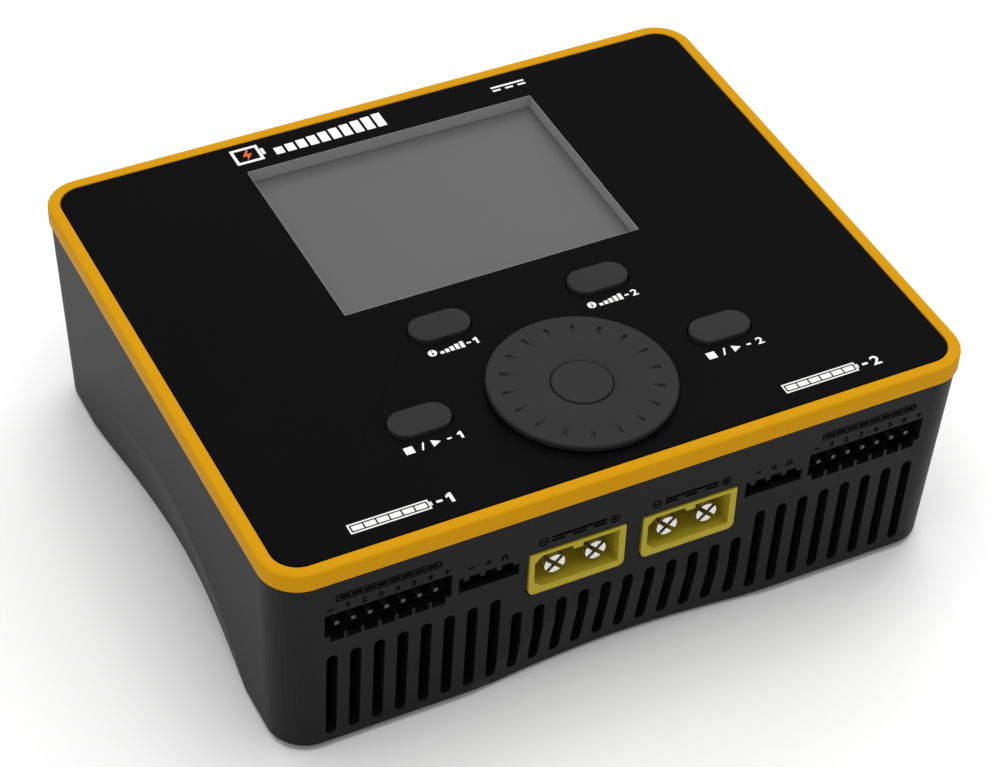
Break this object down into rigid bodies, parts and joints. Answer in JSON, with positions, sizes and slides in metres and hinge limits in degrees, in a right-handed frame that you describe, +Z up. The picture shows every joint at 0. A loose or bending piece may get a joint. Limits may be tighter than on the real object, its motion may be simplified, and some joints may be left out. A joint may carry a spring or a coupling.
{
  "type": "balance battery charger",
  "caption": "Flat dual-channel balance charger: vented drafted housing, trim rim, display panel with buttons and a turning dial, charge and balance sockets on the front, fans at the back.",
  "frame": {"origin": "on the resting plane under the centre of the charger", "axes": "+X to the right seen from the front, +Y to the back, +Z up; the front wall with the output sockets faces -Y"},
  "size_m": [0.1112, 0.092, 0.0392],
  "materials": {
    "shell_black": "fine moulded satin",
    "panel_black": "smooth satin sheet",
    "trim_orange": "smooth satin",
    "display_grey": "satin",
    "screen_grey": "unlit display face",
    "rubber_black": "matte",
    "nylon_yellow": "moulded satin",
    "nylon_black": "moulded satin",
    "tin_plate": "bright plated",
    "board_green": "solder mask",
    "aluminium_bare": "extruded",
    "ferrite_dark": "pressed powder",
    "sleeve_blue": "shrink sleeve",
    "zinc_steel": "black zinc"
  },
  "bodies": {
    "root": {"balance_header_left": "nylon_black", "balance_header_right": "nylon_black", "balance_pins_left": "tin_plate", "balance_pins_right": "tin_plate", "board_link": "nylon_black", "buzzer": "nylon_black", "capacitor_left": "sleeve_blue", "capacitor_right": "sleeve_blue", "case_screw_back_left": "zinc_steel", "case_screw_back_right": "zinc_steel", "case_screw_front_left": "zinc_steel", "case_screw_front_right": "zinc_steel", "control_board": "board_green", "dial_encoder": "nylon_black", "dial_switch": "tin_plate", "display_bezel": "display_grey", "display_glass": "screen_grey", "display_module": "nylon_black", "fan_frame_left": "nylon_black", "fan_frame_right": "nylon_black", "foot_back_left": "rubber_black", "foot_back_right": "rubber_black", "foot_front_left": "rubber_black", "foot_front_right": "rubber_black", "heat_sink": "aluminium_bare", "inductor_left": "ferrite_dark", "inductor_right": "ferrite_dark", "input_pin_minus": "tin_plate", "input_pin_plus": "tin_plate", "input_socket": "nylon_yellow", "lower_housing": "shell_black", "main_board": "board_green", "output_pin_minus_left": "tin_plate", "output_pin_minus_right": "tin_plate", "output_pin_plus_left": "tin_plate", "output_pin_plus_right": "tin_plate", "output_socket_left": "nylon_yellow", "output_socket_right": "nylon_yellow", "run_left_switch": "nylon_black", "run_right_switch": "nylon_black", "sensor_header_left": "nylon_black", "sensor_header_right": "nylon_black", "sensor_pins_left": "tin_plate", "sensor_pins_right": "tin_plate", "status_left_switch": "nylon_black", "status_right_switch": "nylon_black", "top_panel": "panel_black", "trim_rim": "trim_orange"},
    "dial": {"dial": "rubber_black"},
    "dial_button": {"dial_button": "rubber_black"},
    "status_left_button": {"status_left_button": "rubber_black"},
    "status_right_button": {"status_right_button": "rubber_black"},
    "run_left_button": {"run_left_button": "rubber_black"},
    "run_right_button": {"run_right_button": "rubber_black"},
    "fan_rotor_left": {"fan_rotor_left": "nylon_black"},
    "fan_rotor_right": {"fan_rotor_right": "nylon_black"}
  },
  "joints": [
    {"name": "dial_turn", "type": "hinge", "parent": "root", "child": "dial", "pos_m": [0, -0.0278, 0.0385], "axis": [0, 0, 1], "continuous": true},
    {"name": "dial_press", "type": "slide", "parent": "root", "child": "dial_button", "axis": [0, 0, -1], "range_m": [0, 0.0005], "stiffness_N_per_m": 400, "springref_m": -0.0005},
    {"name": "status_left_press", "type": "slide", "parent": "root", "child": "status_left_button", "axis": [0, 0, -1], "range_m": [0, 0.0005], "stiffness_N_per_m": 400, "springref_m": -0.0005},
    {"name": "status_right_press", "type": "slide", "parent": "root", "child": "status_right_button", "axis": [0, 0, -1], "range_m": [0, 0.0005], "stiffness_N_per_m": 400, "springref_m": -0.0005},
    {"name": "run_left_press", "type": "slide", "parent": "root", "child": "run_left_button", "axis": [0, 0, -1], "range_m": [0, 0.0005], "stiffness_N_per_m": 400, "springref_m": -0.0005},
    {"name": "run_right_press", "type": "slide", "parent": "root", "child": "run_right_button", "axis": [0, 0, -1], "range_m": [0, 0.0005], "stiffness_N_per_m": 400, "springref_m": -0.0005},
    {"name": "fan_spin_left", "type": "hinge", "parent": "root", "child": "fan_rotor_left", "pos_m": [-0.0314, 0.0368, 0.0156], "axis": [0, 1, 0], "continuous": true},
    {"name": "fan_spin_right", "type": "hinge", "parent": "root", "child": "fan_rotor_right", "pos_m": [0.0314, 0.0368, 0.0156], "axis": [0, 1, 0], "continuous": true}
  ]
}
